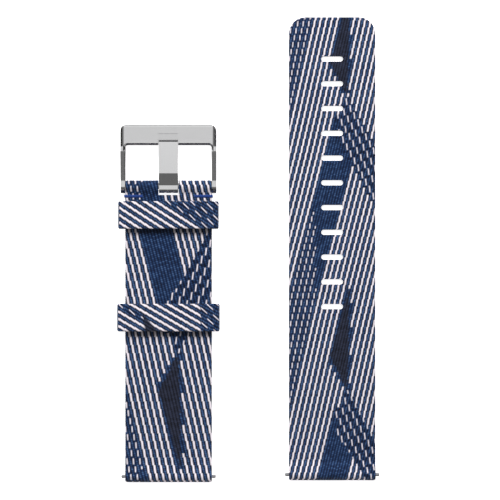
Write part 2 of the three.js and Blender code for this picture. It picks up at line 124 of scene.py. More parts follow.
# Where dashes lie within that band, and the outlines of the chains and of the black wedge.
DASH_TOP_V = 68.8
DASH_RIGHT_U = -4.2
CHAIN_SHAPE = ((3.76, 98.5), (1.0, 92.5), (1.0, 87.5), (1.43, 86.8), (10.33, 71.4), (11.8, 69.0),
               (11.8, 84.0), (10.97, 85.2))
WEDGE_SHAPE = ((4.3, 48.6), (4.2, 36.0), (3.95, 28.0), (3.73, 23.5), (2.89, 24.8), (2.05, 26.6),
               (1.2, 28.4), (0.23, 30.1), (-0.54, 31.6), (0.26, 34.4), (1.82, 39.9), (3.17, 45.1))
WEDGE_MARGIN = 0.55
WEDGE_RAGGED = 0.35

# How the buckle strap's cut of the cloth differs from the hole strap's.
BUCKLE_PATTERN_SCALE = 1.16
BUCKLE_PATTERN_SHIFT = 1.93
BUCKLE_PATTERN_START = 51.9
BUCKLE_PATTERN_RATE = 0.87

# Stripes of the keepers; each set is its pitch, slope and phase.
KEEPER_STRIPE_HALF = 0.27
KEEPER_STRIPE_END = 0.35
KEEPER_STEP = 1.3
KEEPER_STEPPING = 0.25
KEEPER_PICK = 0.6
KEEPER_DASH_HALF = 0.13
KEEPER_DASH_REACH = 0.75
KEEPER_DASH_PITCH = 3.1
KEEPER_DASH_SHIFT = 1.5
KEEPER_DASH_LEAN = 0.55
FREE_KEEPER_STRIPES = (3.17, 1.73, 0.153)
FREE_KEEPER_WEDGE = ((-6.6, 1.1), (-5.8, -3.6), (-2.4, -3.6))
FREE_KEEPER_DASH_END = 8.2
FREE_KEEPER_SHORT_STRIPE = (-2, -6.0)  # this stripe is dashes left of this place
FIXED_KEEPER_STRIPES = (2.94, 1.554, 0.257)
FIXED_KEEPER_LAST_STRIPE = 1

# Relief of the cloth: depth below the CAD face, edges, raised threads, lining and mesh cells.
WEAVE_DEPTH = 0.10
EDGE_ROUND = 0.45
EDGE_DROP = 0.22
EDGE_BULGE = 0.07
EDGE_RIPPLE = 0.62
FLOAT_RISE = 0.10
FLOAT_FOOT = 0.02
FLOAT_SIDE = 0.03
FLOAT_END_DIP = 0.35
RIB_RISE = 0.055
LINING_RISE = 0.05
LINING_WARP = 0.42
LINING_WEFT = 0.5
CELL = 0.15
LINING_CELL = 0.28

STITCH_PITCH = 0.25
STITCH_RADIUS = 0.16
STITCH_LEAN = 0.10
STITCH_DIP = 0.10
STITCH_SIDES = 8
STITCH_RINGS = 7

# How light each part of the weave is, from 0 to 1.
MEAN_LIGHT = 0.44
STRIPED_RIB_LIGHT = 0.42
PLAIN_RIB_LIGHT = 0.30
KEEPER_RIB_LIGHT = 0.34
KNOT_LIGHT = 0.16
UNEVEN_LIGHT = 0.34
# painted shade in the grooves between the dashes of a chain
CHAIN_GROOVE_SHADE = 0.3
UNDERSIDE_LIGHT = 0.3
INSIDE_LIGHT = 0.2
EDGE_LIGHT = 0.2
EDGE_WHITE = 0.35

# ---------------------------------------------------------------- small helpers


def near(distance, width):
    """1 on a line, falling smoothly to 0 a width away from it."""
    return np.clip(1.0 - np.abs(distance) / width, 0.0, 1.0)


def step(value, soft=0.06):
    """0 below zero and 1 above it, with a short slope between."""
    return np.clip(value / soft * 0.5 + 0.5, 0.0, 1.0)


def cyclic(value):
    """Signed distance to the nearest whole number."""
    return value - np.round(value)


def scatter(a, b):
    """A repeatable uneven value from 0 to 1 for each pair of whole numbers."""
    mixed = np.sin(a * 12.9898 + b * 78.233) * 43758.5453
    return mixed - np.floor(mixed)


def polygon_distance(u, v, shape):
    """Signed distance to a polygon, negative inside."""
    least = np.full(u.shape, 1e9)
    inside = np.zeros(u.shape, dtype=bool)
    for (x0, y0), (x1, y1) in zip(shape, shape[1:] + shape[:1]):
        dx, dy = x1 - x0, y1 - y0
        t = np.clip(((u - x0) * dx + (v - y0) * dy) / (dx * dx + dy * dy), 0.0, 1.0)
        least = np.minimum(least, np.hypot(u - x0 - t * dx, v - y0 - t * dy))
        if dy:
            crosses = (y0 > v) != (y1 > v)
            inside ^= crosses & (u < x0 + (v - y0) / dy * dx)
    return np.where(inside, -least, least)


# ---------------------------------------------------------------- weave


def stripe_number(u, v):
    """Which stripe a place is on: whole numbers are the middles of the white stripes."""
    sway = STRIPE_SWAY * (1.0 + np.cos(2.0 * math.pi * (v - STRIPE_SWAY_AT) / PATTERN_PERIOD))
    return (u - STRIPE_SLOPE * v) / STRIPE_PITCH + STRIPE_PHASE - sway


def fold_back(v):
    """The place along the pattern, brought into its first repeat."""
    return (v - PATTERN_FOOT) % PATTERN_PERIOD + PATTERN_FOOT


def regions(u, v):
    """Where the pattern has solid stripes, short dashes, chains of dashes, or no white at all."""
    folded = fold_back(v)
    top, low, side = (across + (folded - along) * slope
                      for across, along, slope in (TOP_LINE, LOW_LINE, SIDE_LINE))
    plain = (u > top) & (u < low) & (u < side)
    plain |= (u > top) & (u < PLAIN_TIP[0]) & (folded > PLAIN_TIP[1])
    dashes = plain & (folded < DASH_TOP_V) & (u < DASH_RIGHT_U)
    dashes |= u < low - PATTERN_PERIOD * LOW_LINE[2]
    chains = (polygon_distance(u, folded, CHAIN_SHAPE) < 0.0) & ~dashes
    by_wedge = (polygon_distance(u, folded, WEDGE_SHAPE) < WEDGE_MARGIN) & ~dashes
    solid = ~(plain | dashes | chains | by_wedge)
    return solid, dashes, chains


def thread_light(rib, knot, rib_light, uneven):
    """How light the coloured threads are: ribs and knots catch light, and no two are quite alike."""
    return MEAN_LIGHT + rib_light * rib + KNOT_LIGHT * knot + UNEVEN_LIGHT * (uneven - 0.5)


def float_crown(across, half):
    """Round top of a white thread: 1 along its middle, nearly 0 at its sides."""
    return np.sqrt(1.0 - (np.minimum(np.abs(across), half) / (half + FLOAT_SIDE)) ** 2)


def cloth_rise(rib, knot, white, crown):
    """Height of the ribbed ground, or of the white threads that lie over it."""
    ground = RIB_RISE * (0.5 + 0.32 * rib + 0.18 * knot)
    return ground * (1.0 - white) + white * (FLOAT_FOOT + FLOAT_RISE * crown)


def weave(u, v):
    """White, black and thread light of the patterned face at (u, v), and its rise over the cloth."""
    number = stripe_number(u, v)
    row = np.floor(v / FLOAT_LENGTH)
    row_middle = (row + 0.5) * FLOAT_LENGTH
    in_row = v / FLOAT_LENGTH - row - 0.5
    thread = np.floor(2.0 * number + 0.5)
    half_row = (np.floor(2.0 * v / FLOAT_LENGTH) + 0.5) * FLOAT_LENGTH / 2.0
    stripe_middle = u - cyclic(number) * STRIPE_PITCH + STRIPE_SLOPE * (half_row - v)
    solid, dashes, chains = regions(stripe_middle, half_row)

    across = cyclic(stripe_number(u, v + STEPPING * (row_middle - v))) * STRIPE_PITCH
    dash_across = cyclic(stripe_number(u, v + DASH_STEPPING * (row_middle - v))) * STRIPE_PITCH
    along_chain = cyclic((v + CHAIN_DROP * np.round(number)) / CHAIN_PITCH) * CHAIN_PITCH
    chain_across = cyclic(stripe_number(u + CHAIN_LEAN * along_chain, v - along_chain)) * STRIPE_PITCH

    stripe_body = step(STRIPE_HALF - np.abs(across))
    dash_ends = step(0.5 * DASH_LENGTH / FLOAT_LENGTH - np.abs(in_row), 0.05)
    chain_ends = step(0.5 * CHAIN_LENGTH - np.abs(along_chain), 0.08)
    white = np.where(solid, stripe_body, 0.0)
    white = np.where(dashes, step(DASH_HALF - np.abs(dash_across)) * dash_ends, white)
    white = np.where(chains, step(DASH_HALF - np.abs(chain_across)) * chain_ends, white)

    ragged = WEDGE_RAGGED * (scatter(thread, np.floor(v / PICK_LENGTH)) - 0.5)
    black = (polygon_distance(u, fold_back(v), WEDGE_SHAPE) < ragged) & ~dashes

    pick = np.floor(v / PICK_LENGTH + 0.5 * thread)
    rib = np.cos(4.0 * math.pi * number)
    knot = -np.cos(2.0 * math.pi * (v / PICK_LENGTH + 0.5 * thread))
    rib_light = np.where(solid, STRIPED_RIB_LIGHT, PLAIN_RIB_LIGHT)
    light = thread_light(rib, knot, rib_light, scatter(thread, pick))
    # painted shade: threads darkened in the grooves between a chain's dashes
    light -= np.where(chains, CHAIN_GROOVE_SHADE * near(np.abs(along_chain) - 0.5 * CHAIN_PITCH, 0.5), 0.0)
    row_ends = near(np.abs(in_row) - 0.5, 0.16)
    crown = float_crown(across, STRIPE_HALF) * (1.0 - FLOAT_END_DIP * row_ends)
    return white, black.astype(float) * (1.0 - white), light, cloth_rise(rib, knot, white, crown)


def buckle_strap_weave(u, v):
    """The same pattern, flipped along the strap and a little larger."""
    return weave((u + BUCKLE_PATTERN_SHIFT) / BUCKLE_PATTERN_SCALE,
                 BUCKLE_PATTERN_START - BUCKLE_PATTERN_RATE * v)


def lining_weave(u, v):
    """Plain fine navy weave: no stripes, small checks of warp and weft."""
    warp = np.sin(math.pi * u / LINING_WARP)
    weft = np.sin(math.pi * v / LINING_WEFT)
    over = 0.5 + 0.5 * warp * weft
    nothing = np.zeros(u.shape)
    return nothing, nothing, 0.25 + 0.35 * over, LINING_RISE * over


# ---------------------------------------------------------------- side paths of the straps


def line(start, end, size):
    """Points from start to end, not including the end."""
    count = max(1, round(math.dist(start, end) / size))
    return [(start[0] + (end[0] - start[0]) * i / count, start[1] + (end[1] - start[1]) * i / count)
            for i in range(count)]


def turn(centre, radius, start, end, size):
    """Points on an arc from one angle to another, in degrees, with both ends."""
    count = max(2, round(abs(math.radians(end - start)) * radius / size))
    angles = [math.radians(start + (end - start) * i / count) for i in range(count + 1)]
    return [(centre[0] + radius * math.cos(a), centre[1] + radius * math.sin(a)) for a in angles]


def tangent(outside, centre, radius, side):
    """Angle on the circle, in degrees, where the line from an outside point touches it."""
    away = math.atan2(outside[1] - centre[1], outside[0] - centre[0])
    return math.degrees(away + side * math.acos(radius / math.dist(outside, centre)))


def lug_path(bar_z, cut, size):
    """From the underside at the cut, round the spring bar, and back on top to the cut."""
    centre = (FOLD_RADIUS, bar_z)
    upper, lower = (FOLD_RAMP, LAYER), (FOLD_RAMP, -LAYER)
    start = tangent(lower, centre, FOLD_RADIUS, -1) + 360.0
    end = tangent(upper, centre, FOLD_RADIUS, 1)
    round_bar = turn(centre, FOLD_RADIUS, start, end, size)
    return (line((cut, -LAYER), lower, size) + line(lower, round_bar[0], size) + round_bar
            + line(round_bar[-1], upper, size)[1:] + line(upper, (cut, LAYER), size) + [(cut, LAYER)])


def path_length(path):
    return sum(math.dist(p, q) for p, q in zip(path, path[1:]))


def pin_path(cut, size):
    """From the top at the cut, round the buckle's pin, and back beneath to the flap's end."""
    centre = (PIN_V, 0.0)
    upper, lower = (TACK_END, LAYER), (TACK_END, -LAYER)
    start = tangent(upper, centre, FOLD_RADIUS, -1)
    end = tangent(lower, centre, FOLD_RADIUS, 1)
    round_pin = turn(centre, FOLD_RADIUS, start, end, size)
    return (line((cut, LAYER), upper, size) + line(upper, round_pin[0], size) + round_pin
            + line(round_pin[-1], lower, size)[1:] + line(lower, (FLAP_START, -LAYER), size)
            + [(FLAP_START, -LAYER)])


def flat_path(start, end, height, size):
    """A straight run along the strap at one height."""
    return line((start, height), (end, height), size) + [(end, height)]


# ---------------------------------------------------------------- cloth mesh


def rounded_box_edge(p, centre, half, radius):
    """Nearest points on a rounded rectangle's outline to points outside it, and which are inside."""
    inner = np.clip(p - centre, -(np.array(half) - radius), np.array(half) - radius)
    away = p - centre - inner
    reach = np.hypot(away[:, 0], away[:, 1])
    unit = away / np.maximum(reach, 1e-9)[:, None]
    return centre + inner + unit * radius, reach < radius


def cut_slots(plan, faces, slots):
    """Opens slots in a grid: drops the cells that reach inside, and snaps the rim to the outline."""
    for centre, half, radius in slots:
        edge, inside = rounded_box_edge(plan, np.array(centre), half, radius)
        dropped = inside[faces].any(axis=1)
        rim = np.unique(faces[dropped])
        rim = rim[~inside[rim]]
        plan[rim] = edge[rim]
        faces = faces[~dropped]
    return faces


def rim_edges(faces):
    """Edges that only one face uses, in that face's order."""
    edges = np.concatenate([faces[:, [i, (i + 1) % 4]] for i in range(4)])
    keys = np.sort(edges, axis=1)
    _, first, count = np.unique(keys, axis=0, return_index=True, return_counts=True)
    return edges[first[count == 1]]


def make_mesh(name, points, faces, colours, uvs, material):
    """A mesh object from plain arrays, with the weave in a colour attribute and a UV map in mm."""
    mesh = bpy.data.meshes.new(name)
    mesh.vertices.add(len(points))
    mesh.vertices.foreach_set("co", np.ascontiguousarray(points * MM, dtype=np.float32).ravel())
    mesh.loops.add(faces.size)
    mesh.loops.foreach_set("vertex_index", faces.astype(np.int32).ravel())
    mesh.polygons.add(len(faces))
    mesh.polygons.foreach_set("loop_start", np.arange(0, faces.size, 4, dtype=np.int32))
    mesh.update(calc_edges=True)
    mesh.validate()
    mesh.polygons.foreach_set("use_smooth", np.full(len(mesh.polygons), True))
    mesh.set_sharp_from_angle(angle=math.radians(65))
    attribute = mesh.color_attributes.new("weave", "FLOAT_COLOR", "POINT")
    attribute.data.foreach_set("color", np.ascontiguousarray(colours, dtype=np.float32).ravel())
    layer = mesh.uv_layers.new(name="cloth")
    index = np.empty(len(mesh.loops), dtype=np.int32)
    mesh.loops.foreach_get("vertex_index", index)
    layer.data.foreach_set("uv", np.ascontiguousarray(uvs[index], dtype=np.float32).ravel())
    mesh.materials.append(material)
    obj = bpy.data.objects.new(name, mesh)
    bpy.context.collection.objects.link(obj)
    return obj


def side_frame(path):
    """A side path's points, the length along it to each of them, and its normals."""
    side = np.array(path)
    lengths = np.concatenate([[0.0], np.cumsum(np.hypot(*np.diff(side, axis=0).T))])
    heading = np.gradient(side, axis=0)
    heading /= np.hypot(heading[:, 0], heading[:, 1])[:, None]
    return side, lengths, np.stack([-heading[:, 1], heading[:, 0]], axis=1)


def plan_grid(lengths, half_widths, cell, slots):
    """Points (across, along) of the sheet laid out flat, and its faces, with the slots open."""
    columns = round(STRAP_WIDTH / cell)
    spread = np.linspace(-1.0, 1.0, columns + 1)
    across = (spread[None, :] * half_widths[:, None]).ravel()
    plan = np.stack([across, np.repeat(lengths, columns + 1)], axis=1)
    index = np.arange(len(plan)).reshape(-1, columns + 1)
    corners = [index[:-1, :-1], index[:-1, 1:], index[1:, 1:], index[1:, :-1]]
    return plan, cut_slots(plan, np.stack(corners, axis=-1).reshape(-1, 4), slots)


def edge_drop(inset):
    """How far the face rounds down at a distance in from the sheet's edge."""
    return np.clip(1.0 - inset / EDGE_ROUND, 0.0, 1.0) ** 2 * EDGE_DROP


def rim_bulge(plan, edges, length):
    """How far the sheet's edges bulge, across and along; its two ends stay flush."""
    outward = np.zeros(plan.shape)
    run = plan[edges[:, 1]] - plan[edges[:, 0]]
    away = np.stack([run[:, 1], -run[:, 0]], axis=1)
    np.add.at(outward, edges[:, 0], away)
    np.add.at(outward, edges[:, 1], away)
    outward /= np.maximum(np.hypot(outward[:, 0], outward[:, 1]), 1e-9)[:, None]
    u, s = plan.T
    flush = (s < 1e-6) | (s > length - 1e-6)
    ripple = 0.65 + 0.35 * np.sin(2.0 * math.pi * (s + u) / EDGE_RIPPLE)
    return outward * np.where(flush, 0.0, EDGE_BULGE * ripple)[:, None]


def rim_walls(edges, upper, middle, lower):
    """Two rows of faces round the rim, each row from one set of points down to the next."""
    first, second = edges.T
    return [np.stack([top[second], top[first], below[first], below[second]], axis=1)
            for top, below in ((upper, middle), (middle, lower))]


def thread_colour(white, black, light):
    """Rows of the colour attribute: how white, how black and how light the thread is."""
    return np.stack([white, black, light, np.ones(len(white))], axis=1)


def cloth(name, path, place, pattern, material, cell, slots=(), start=0.0, half_width=None,
          edge_distance=None):
    """A closed sheet of webbing whose outer face follows a side path.

    place(u, a, b) puts a point that is u across the strap and at (a, b) in the side view.
    pattern(u, s, a) gives the weave, with s measured along the cloth from start.
    """
    side, lengths, normals = side_frame(path)
    half_widths = half_width(side[:, 0]) if half_width else np.full(len(side), STRAP_WIDTH / 2)
    plan, faces = plan_grid(lengths, half_widths, cell, slots)
    count = len(plan)
    u, s = plan.T
    a, b, na, nb, reach = (np.interp(s, lengths, values)
                           for values in (*side.T, *normals.T, half_widths))
    white, black, light, rise = pattern(u, s + start, a)
    inset = edge_distance(u, a) if edge_distance else reach - np.abs(u)
    height = rise - WEAVE_DEPTH - edge_drop(inset)

    edges = rim_edges(faces)
    rim = np.unique(edges)
    bulge = rim_bulge(plan, edges, lengths[-1])[rim]
    depth = (height[rim] - SHEET) / 2
    outer = place(u, a + na * height, b + nb * height)
    inner = place(u, a - na * SHEET, b - nb * SHEET)
    middle = place(u[rim] + bulge[:, 0],
                   a[rim] + na[rim] * depth + nb[rim] * bulge[:, 1],
                   b[rim] + nb[rim] * depth - na[rim] * bulge[:, 1])
    middle_of = np.full(count, -1)
    middle_of[rim] = 2 * count + np.arange(len(rim))
    upper, lower = np.arange(count), np.arange(count) + count
    points = np.concatenate([outer, inner, middle])
    all_faces = np.concatenate([faces, faces[:, ::-1] + count, *rim_walls(edges, upper, middle_of, lower)])

    blank = np.zeros(count)
    colours = np.concatenate([
        thread_colour(white, black, light),
        thread_colour(blank, blank, blank + UNDERSIDE_LIGHT),
        thread_colour(EDGE_WHITE * white[rim], black[rim], blank[rim] + EDGE_LIGHT)])
    uv = np.stack([u, s + start], axis=1)
    uvs = np.concatenate([uv, uv, uv[rim]])
    used = np.unique(all_faces)
    renumber = np.full(len(points), -1)
    renumber[used] = np.arange(len(used))
    return make_mesh(name, points[used], renumber[all_faces], colours[used], uvs[used], material)


def placer(x0, y0, z0):
    """Puts strap places (across, along, up) into the band's frame, in mm."""
    def place(u, a, b):
        return np.stack([x0 + u, y0 + a, z0 + b], axis=1)
    return place


# ---------------------------------------------------------------- shader helpers


class Shader:
    """Small wrapper that adds and joins shader nodes."""

    def __init__(self, name):
        self.material = bpy.data.materials.new(name)
        self.material.use_nodes = True
        self.nodes = self.material.node_tree.nodes
        self.links = self.material.node_tree.links
        self.surface = self.nodes["Principled BSDF"]

    def add(self, kind, settings=None, **inputs):
        node = self.nodes.new(kind)
        for key, value in (settings or {}).items():
            setattr(node, key, value)
        for key, value in inputs.items():
            self.put(node.inputs[key.replace("_", " ")], value)
        return node

    def put(self, socket, value):
        if isinstance(value, bpy.types.NodeSocket):
            self.links.new(value, socket)
        else:
            socket.default_value = value

    def math(self, operation, a, b=0.0, clamp=False):
        node = self.add("ShaderNodeMath", {"operation": operation, "use_clamp": clamp})
        self.put(node.inputs[0], a)
        self.put(node.inputs[1], b)
        return node.outputs[0]

    def mix(self, amount, a, b, blend="MIX"):
        node = self.add("ShaderNodeMix", {"data_type": "RGBA", "blend_type": blend})
        self.put(node.inputs["Factor"], amount)
        self.put(node.inputs[6], a)
        self.put(node.inputs[7], b)
        return node.outputs[2]

    def noise(self, where, scale, detail=3.0):
        return self.add("ShaderNodeTexNoise", Vector=where, Scale=scale, Detail=detail).outputs["Fac"]

    def set(self, **inputs):
        for key, value in inputs.items():
            self.put(self.surface.inputs[key.replace("_", " ")], value)

    def relief(self, height, strength, distance):
        bump = self.add("ShaderNodeBump", Height=height, Strength=strength, Distance=distance)
        self.set(Normal=bump.outputs["Normal"])


def colour(hexadecimal):
    """Linear RGBA from an sRGB hex string."""
    parts = [int(hexadecimal[i:i + 2], 16) / 255 for i in (0, 2, 4)]
    linear = [p / 12.92 if p < 0.04045 else ((p + 0.055) / 1.055) ** 2.4 for p in parts]
    return (*linear, 1.0)


WHITE_SHADE = colour("cfc6d4")
BLACK_LIGHT = colour("343a50")


def scaled(base, factor):
    """A colour made darker or brighter, no brighter than full white."""
    return tuple(min(1.0, factor * c) for c in base[:3]) + (1.0,)


def webbing_material(name, dark, ground, thread, white, black):
    """Woven cloth coloured by the weave attribute, with fibres, uneven dye and a soft sheen."""
    shader = Shader(name)
    weave_colour = shader.add("ShaderNodeAttribute", {"attribute_name": "weave"}).outputs["Color"]
    parts = shader.add("ShaderNodeSeparateColor", Color=weave_colour)
    uv = shader.add("ShaderNodeUVMap", {"uv_map": "cloth"}).outputs["UV"]
    stretched = shader.add("ShaderNodeMapping", Vector=uv, Scale=(1.0, 0.16, 1.0)).outputs["Vector"]
    fibre = shader.noise(stretched, 9.0, 2.0)
    dye = shader.noise(uv, 0.35, 3.0)
    low = shader.mix(shader.math("MULTIPLY", parts.outputs["Blue"], 1.7, True), dark, ground)
    high = shader.math("MULTIPLY", shader.math("SUBTRACT", parts.outputs["Blue"], 0.55), 2.2, True)
    navy = shader.mix(high, low, thread)
    wedge = shader.mix(parts.outputs["Blue"], black, BLACK_LIGHT)
    navy = shader.mix(parts.outputs["Green"], navy, wedge)
    white_thread = shader.mix(shader.math("MULTIPLY", fibre, 0.25), white, WHITE_SHADE)
    cloth_colour = shader.mix(parts.outputs["Red"], navy, white_thread)
    shade = shader.math("ADD", shader.math("MULTIPLY", shader.math("SUBTRACT", dye, 0.5), 0.35), 1.0)
    shade = shader.math("MULTIPLY", shade, shader.math("ADD", shader.math("MULTIPLY", fibre, 0.5), 0.75))
    grey = shader.add("ShaderNodeCombineColor", Red=shade, Green=shade, Blue=shade).outputs["Color"]
    tinted = shader.mix(1.0, cloth_colour, grey, "MULTIPLY")
    roughness = shader.math("ADD", shader.math("MULTIPLY", fibre, 0.2), 0.68)
    shader.set(Base_Color=tinted, Roughness=roughness, Sheen_Weight=0.15, Sheen_Roughness=0.45,
               Specular_IOR_Level=0.25)
    shader.relief(fibre, 0.35, 0.00006)
    return shader.material


def thread_material(name, base):
    """Solid coloured sewing thread with a twist and slight colour change."""
    shader = Shader(name)
    where = shader.add("ShaderNodeTexCoord").outputs["Object"]
    twist = shader.add("ShaderNodeTexWave", {"bands_direction": "DIAGONAL"}, Vector=where, Scale=2600.0,
                       Distortion=1.5)
    patches = shader.noise(where, 700.0, 3.0)
    tone = shader.mix(shader.math("MULTIPLY", twist.outputs["Fac"], patches), scaled(base, 0.45), base)
    shader.set(Base_Color=tone, Roughness=0.55, Sheen_Weight=0.2)
    shader.relief(twist.outputs["Fac"], 0.5, 0.00005)
    return shader.material


def steel_material(name, base, roughness):
    """Satin steel: fine brushing across the strap, faint smudges and a base colour a little lighter on sharp
    convex edges.
    """
    shader = Shader(name)
    where = shader.add("ShaderNodeTexCoord").outputs["Object"]
    brushed = shader.add("ShaderNodeMapping", Vector=where, Scale=(160.0, 5200.0, 5200.0)).outputs["Vector"]
    grain = shader.noise(brushed, 1.0, 3.0)
    smudge = shader.noise(where, 260.0, 3.0)
    geometry = shader.add("ShaderNodeNewGeometry").outputs["Pointiness"]
    # base colour made a little lighter on sharp convex edges, found from pointiness
    edge_lightening = shader.math("MULTIPLY", shader.math("SUBTRACT", geometry, 0.52), 6.0, True)
    clean = shader.math("ADD", shader.math("MULTIPLY", grain, 0.5), shader.math("MULTIPLY", smudge, 0.4))
    tone = shader.mix(clean, scaled(base, 0.8), base)
    tone = shader.mix(edge_lightening, tone, scaled(base, 1.06))
    rough = shader.math("ADD", shader.math("MULTIPLY", grain, 0.10), roughness)
    rough = shader.math("ADD", rough, shader.math("MULTIPLY", smudge, 0.08))
    shader.set(Base_Color=tone, Metallic=1.0, Roughness=rough)
    shader.relief(grain, 0.12, 0.00002)
    return shader.material


FACE = webbing_material("patterned_webbing", colour("070d1f"), colour("1b3259"), colour("4a6894"),
                        colour("fff6fc"), colour("040409"))
LINING = webbing_material("plain_lining", colour("0e1426"), colour("1c2c4e"), colour("33486e"),
                          colour("f5ebf2"), colour("14141c"))
TACK = thread_material("tack_thread", colour("1c4fae"))
STEEL = steel_material("satin_steel", colour("ebebec"), 0.07)
PIN_STEEL = steel_material("pin_steel", colour("c4c4c8"), 0.26)

# ---------------------------------------------------------------- where the straps are


def middle(node):
    """The centre of a CAD node, in mm."""
    low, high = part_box(node)
    return [(low[i] + high[i]) / 2 / MM for i in range(3)]


def strap_frame(bar_tube, bar_height):
    """The strap's origin in the frame, mm: centre of its width, start of its length, mid height."""
    x, y, z = middle(bar_tube)
    return x, y - FOLD_RADIUS, z - bar_height


HOLE_ORIGIN = strap_frame("hole_strap_bar_tube", FOLD_RADIUS - LAYER)
BUCKLE_ORIGIN = strap_frame("buckle_strap_bar_tube", 0.0)
HINGES = [HINGE_FIRST + HINGE_PITCH * k for k in range(HINGE_COUNT)]
SLOT_PLACES = [SLOT_FIRST + SLOT_PITCH * k for k in range(SLOT_COUNT)]


def bend(piece):
    """Bakes a piece of webbing's placement into its mesh."""
    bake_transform(piece)


# ---------------------------------------------------------------- hole strap


def tip_half_width(a):
    """Half the strap's width, which the tip's round corners reduce."""
    into = np.clip(a - (HOLE_LENGTH - HOLE_TIP_RADIUS), 0.0, HOLE_TIP_RADIUS)
    return STRAP_WIDTH / 2 - HOLE_TIP_RADIUS + np.sqrt(HOLE_TIP_RADIUS ** 2 - into ** 2)


def tip_edge_distance(u, a):
    """Distance in from the strap's edge, with the round corners of the tip."""
    corner_u = np.abs(u) - (STRAP_WIDTH / 2 - HOLE_TIP_RADIUS)
    corner_a = a - (HOLE_LENGTH - HOLE_TIP_RADIUS)
    outside = np.hypot(np.maximum(corner_u, 0.0), np.maximum(corner_a, 0.0))
    return HOLE_TIP_RADIUS - outside - np.minimum(np.maximum(corner_u, corner_a), 0.0)


def slots_between(start, end):
    """Slots of the hole strap between two places, as (centre, half size, corner radius)."""
    half = (SLOT_SIZE[0] / 2, SLOT_SIZE[1] / 2)
    return [((0.0, v - start), half, SLOT_ROUND) for v in SLOT_PLACES if start < v < end]


def flipped(origin):
    """Places the lining: its outer face looks down, so heights above the path turn over."""
    x0, y0, z0 = origin

    def place(u, a, b):
        return np.stack([x0 - u, y0 + a, z0 - 2 * LAYER - b], axis=1)
    return place


def face_of(pattern):
    """A weave that is read across and along the strap."""
    return lambda u, s, a: pattern(u, s)


def lug_weave(path, pattern):
    """Lining weave beneath, then face weave on the flap, round the bar and on the top."""
    total, cut = path_length(path), path[0][0]

    def read(u, s, a):
        along = cut - total + s
        face = pattern(u, along)
        lining = lining_weave(u, along)
        under = (s < total / 2) & (a > LUG_FLAP_END)
        return tuple(np.where(under, low, high) for low, high in zip(lining, face))
    return read


def lug_end(strap, origin, bar_height, cut, pattern):
    """The webbing of a lug end, from the underside round the spring bar and back along the top."""
    path = lug_path(bar_height, cut, CELL)
    piece = cloth(f"{strap}_lug_webbing", path, placer(*origin), lug_weave(path, pattern), FACE, CELL)
    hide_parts(f"{strap}_lug_end")
    bend(piece)


def laid_face(strap, number, origin, start, end, pattern, **shape):
    """One length of a strap's patterned face, laid on the same length of its lining."""
    piece = cloth(f"{strap}_face_webbing_{number}", flat_path(start, end, LAYER, CELL),
                  placer(*origin), face_of(pattern), FACE, CELL, start=start, **shape)
    return piece


def laid_lining(strap, number, origin, start, end, **shape):
    """One length of a strap's plain lining, laid on the floor."""
    piece = cloth(f"{strap}_lining_webbing_{number}", flat_path(start, end, -LAYER, LINING_CELL),
                  flipped(origin), face_of(lining_weave), LINING, LINING_CELL, start=start, **shape)
    return piece


def build_hole_strap():
    """The lug end, then a face and a lining for each bend; the last ones reach the round tip."""
    lug_end("hole_strap", HOLE_ORIGIN, FOLD_RADIUS - LAYER, (HINGES[0] + HINGES[1]) / 2, weave)
    for k in range(1, HINGE_COUNT):
        start = (HINGES[k - 1] + HINGES[k]) / 2
        bodies, shape = [k], {}
        if k < HINGE_COUNT - 1:
            end = (HINGES[k] + HINGES[k + 1]) / 2
        else:
            end = HOLE_LENGTH
            bodies = [k, k + 1]
            shape = {"half_width": tip_half_width, "edge_distance": tip_edge_distance}
        shape["slots"] = slots_between(start, end)
        layers = {"face": laid_face("hole_strap", k, HOLE_ORIGIN, start, end, weave, **shape),
                  "lining": laid_lining("hole_strap", k, HOLE_ORIGIN, start, end, **shape)}
        for layer, piece in layers.items():
            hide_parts(*[f"hole_strap_{body}_{layer}" for body in bodies])
            bend(piece)


# ---------------------------------------------------------------- buckle strap


def build_buckle_fold():
    """The face webbing's last length, round the buckle's pin and back beneath as a flap."""
    start = BUCKLE_CUTS[1]
    path = pin_path(start, CELL)
    lengths = side_frame(path)[1]
    beyond = [s for s, (a, _) in zip(lengths, path) if a > TONGUE_SLOT_START]
    middle_of_slot, half_of_slot = (beyond[0] + beyond[-1]) / 2, (beyond[-1] - beyond[0]) / 2
    slot = ((0.0, middle_of_slot), (TONGUE_SLOT / 2, half_of_slot), TONGUE_SLOT_CORNER)
    fold = cloth("buckle_strap_fold_webbing", path, placer(*BUCKLE_ORIGIN), face_of(buckle_strap_weave),
                 FACE, CELL, slots=[slot], start=start)
    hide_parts("buckle_strap_face")
    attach(fold, "buckle_strap")


def build_buckle_strap():
    """The lug end, two lengths of face and of lining, and the fold that holds the buckle."""
    face_cut, fold_cut = BUCKLE_CUTS
    lug_end("buckle_strap", BUCKLE_ORIGIN, 0.0, BUCKLE_MID_CUT, buckle_strap_weave)
    faces = [laid_face("buckle_strap", number, BUCKLE_ORIGIN, start, end, buckle_strap_weave)
             for number, start, end in ((1, BUCKLE_MID_CUT, face_cut), (2, face_cut, fold_cut))]
    linings = [laid_lining("buckle_strap", number, BUCKLE_ORIGIN, start, end)
               for number, start, end in ((1, BUCKLE_MID_CUT, face_cut), (2, face_cut, FLAP_START))]
    for layer, (bending, still) in (("face", faces), ("lining", linings)):
        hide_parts(f"buckle_strap_flex_{layer}")
        bend(bending)
        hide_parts(f"buckle_strap_{layer}")
        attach(still, "buckle_strap")
    build_buckle_fold()


# ---------------------------------------------------------------- keepers


